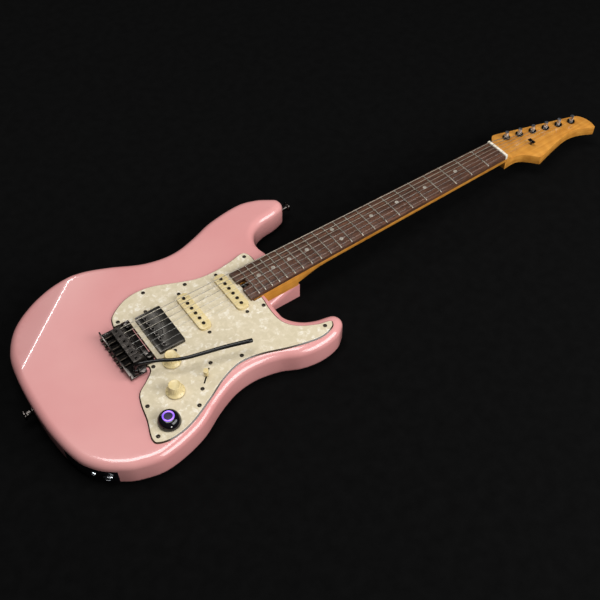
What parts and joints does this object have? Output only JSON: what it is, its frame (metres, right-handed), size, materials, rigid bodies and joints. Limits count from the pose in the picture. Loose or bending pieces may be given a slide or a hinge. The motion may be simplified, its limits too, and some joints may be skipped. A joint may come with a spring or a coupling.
{
  "type": "electric guitar",
  "caption": "Solid-body electric guitar with bolt-on neck, tremolo bridge, humbucker and single-coil pickups, knobs, lever switch and edge sockets.",
  "frame": {"origin": "middle of the whole length and width, on the plane of the back on which it lies", "axes": "+X along the neck from the tail to the headstock, +Y towards the bass side, +Z out of the face"},
  "size_m": [0.9927, 0.3334, 0.0717],
  "materials": {
    "body_paint": "gloss lacquer",
    "maple": "satin roasted maple",
    "rosewood": "oiled rosewood",
    "nickel_silver": "polished",
    "pearl_dot": "pearl inlay",
    "bone": "polished bone",
    "steel": "plain steel",
    "black_nickel": "polished black nickel",
    "pearloid": "aged pearloid laminate",
    "dark_screw": "blackened steel",
    "cream": "moulded cream ABS",
    "bobbin": "moulded",
    "magnet": "aged alnico",
    "black_plastic": "gloss moulded",
    "ring_light": "lit diffuser",
    "board": "solder mask",
    "cell": "foil pouch",
    "chrome": "polished",
    "black_enamel": "gloss black",
    "string_steel": "plain and wound"
  },
  "bodies": {
    "root": {"body": "body_paint", "neck": "maple", "fretboard": "rosewood", "frets": "nickel_silver", "position_dots": "pearl_dot", "nut": "bone", "truss_rod": "steel", "neck_plate": "black_nickel", "neck_bolts": "dark_screw", "pickguard": "pearloid", "cover_screws": "dark_screw", "single_coil_covers": "cream", "pickup_bobbins": "bobbin", "single_coil_poles": "magnet", "humbucker_cover": "black_nickel", "humbucker_poles": "black_nickel", "machine_screws": "dark_screw", "potentiometers": "steel", "dome_encoder": "steel", "selector_frame": "steel", "control_board": "board", "battery_pack": "cell", "socket_panel": "black_plastic", "output_jack": "chrome", "phones_socket": "chrome", "strap_buttons": "black_nickel", "pivot_posts": "black_nickel", "tremolo_springs": "steel", "spring_claw": "steel", "claw_screws": "steel", "back_plate": "black_plastic", "tuner_housings": "black_nickel", "tuner_bushings": "black_nickel", "string_tree": "black_nickel", "strings": "string_steel"},
    "volume": {"volume_knob": "cream"},
    "tone": {"tone_knob": "cream"},
    "dome": {"dome_knob": "black_plastic", "light_ring": "ring_light"},
    "dome_press": {"dome_button": "black_plastic"},
    "selector": {"selector_lever": "steel", "selector_tip": "cream"},
    "bridge": {"bridge_plate": "black_nickel", "sustain_block": "black_nickel", "saddles": "black_nickel", "saddle_screws": "dark_screw", "arm_collar": "black_nickel"},
    "arm": {"tremolo_arm": "black_enamel"},
    "post_1": {"string_post_1": "chrome"},
    "key_1": {"tuner_key_1": "black_nickel"},
    "post_2": {"string_post_2": "chrome"},
    "key_2": {"tuner_key_2": "black_nickel"},
    "post_3": {"string_post_3": "chrome"},
    "key_3": {"tuner_key_3": "black_nickel"},
    "post_4": {"string_post_4": "chrome"},
    "key_4": {"tuner_key_4": "black_nickel"},
    "post_5": {"string_post_5": "chrome"},
    "key_5": {"tuner_key_5": "black_nickel"},
    "post_6": {"string_post_6": "chrome"},
    "key_6": {"tuner_key_6": "black_nickel"}
  },
  "joints": [
    {"name": "volume_turn", "type": "hinge", "parent": "root", "child": "volume", "pos_m": [-0.30684, -0.05366, 0.05], "axis": [0, 0, 1], "range_deg": [-270, 0]},
    {"name": "tone_turn", "type": "hinge", "parent": "root", "child": "tone", "pos_m": [-0.32634, -0.09666, 0.05], "axis": [0, 0, 1], "range_deg": [-270, 0]},
    {"name": "dome_turn", "type": "hinge", "parent": "root", "child": "dome", "pos_m": [-0.35484, -0.13066, 0.05], "axis": [0, 0, 1], "continuous": true},
    {"name": "dome_push", "type": "slide", "parent": "dome", "child": "dome_press", "axis": [0, 0, -1], "range_m": [0, 0.0008], "stiffness_N_per_m": 900, "springref_m": -0.0004},
    {"name": "selector_tilt", "type": "hinge", "parent": "root", "child": "selector", "pos_m": [-0.28184, -0.09866, 0.033], "axis": [-0.6947, 0.7193, 0], "range_deg": [-15, 15]},
    {"name": "bridge_tilt", "type": "hinge", "parent": "root", "child": "bridge", "pos_m": [-0.32884, -0.00066, 0.0485], "axis": [0, 1, 0], "range_deg": [-2, 5], "stiffness_Nm_per_rad": 25, "deforming": ["strings", "tremolo_springs"]},
    {"name": "arm_swing", "type": "hinge", "parent": "bridge", "child": "arm", "pos_m": [-0.35334, -0.04516, 0.05], "axis": [0, 0, 1], "range_deg": [-100, 20]},
    {"name": "key_1_turn", "type": "hinge", "parent": "root", "child": "key_1", "pos_m": [0.36185, 0.01925, 0.02], "axis": [0.2756, 0.9613, 0], "continuous": true},
    {"name": "post_1_turn", "type": "hinge", "parent": "root", "child": "post_1", "pos_m": [0.35666, 0.02074, 0.03], "axis": [0, 0, 1], "continuous": true},
    {"name": "key_2_turn", "type": "hinge", "parent": "root", "child": "key_2", "pos_m": [0.38464, 0.01272, 0.02], "axis": [0.2756, 0.9613, 0], "continuous": true},
    {"name": "post_2_turn", "type": "hinge", "parent": "root", "child": "post_2", "pos_m": [0.37945, 0.01421, 0.03], "axis": [0, 0, 1], "continuous": true},
    {"name": "key_3_turn", "type": "hinge", "parent": "root", "child": "key_3", "pos_m": [0.40742, 0.00618, 0.02], "axis": [0.2756, 0.9613, 0], "continuous": true},
    {"name": "post_3_turn", "type": "hinge", "parent": "root", "child": "post_3", "pos_m": [0.40223, 0.00767, 0.03], "axis": [0, 0, 1], "continuous": true},
    {"name": "key_4_turn", "type": "hinge", "parent": "root", "child": "key_4", "pos_m": [0.4302, -0.00035, 0.02], "axis": [0.2756, 0.9613, 0], "continuous": true},
    {"name": "post_4_turn", "type": "hinge", "parent": "root", "child": "post_4", "pos_m": [0.42501, 0.00114, 0.03], "axis": [0, 0, 1], "continuous": true},
    {"name": "key_5_turn", "type": "hinge", "parent": "root", "child": "key_5", "pos_m": [0.45298, -0.00688, 0.02], "axis": [0.2756, 0.9613, 0], "continuous": true},
    {"name": "post_5_turn", "type": "hinge", "parent": "root", "child": "post_5", "pos_m": [0.44779, -0.00539, 0.03], "axis": [0, 0, 1], "continuous": true},
    {"name": "key_6_turn", "type": "hinge", "parent": "root", "child": "key_6", "pos_m": [0.47576, -0.01341, 0.02], "axis": [0.2756, 0.9613, 0], "continuous": true},
    {"name": "post_6_turn", "type": "hinge", "parent": "root", "child": "post_6", "pos_m": [0.47057, -0.01192, 0.03], "axis": [0, 0, 1], "continuous": true}
  ],
  "couplings": [
    {"joint": "post_1_turn", "follows": "key_1_turn", "ratio": 0.055556},
    {"joint": "post_2_turn", "follows": "key_2_turn", "ratio": 0.055556},
    {"joint": "post_3_turn", "follows": "key_3_turn", "ratio": 0.055556},
    {"joint": "post_4_turn", "follows": "key_4_turn", "ratio": 0.055556},
    {"joint": "post_5_turn", "follows": "key_5_turn", "ratio": 0.055556},
    {"joint": "post_6_turn", "follows": "key_6_turn", "ratio": 0.055556}
  ]
}
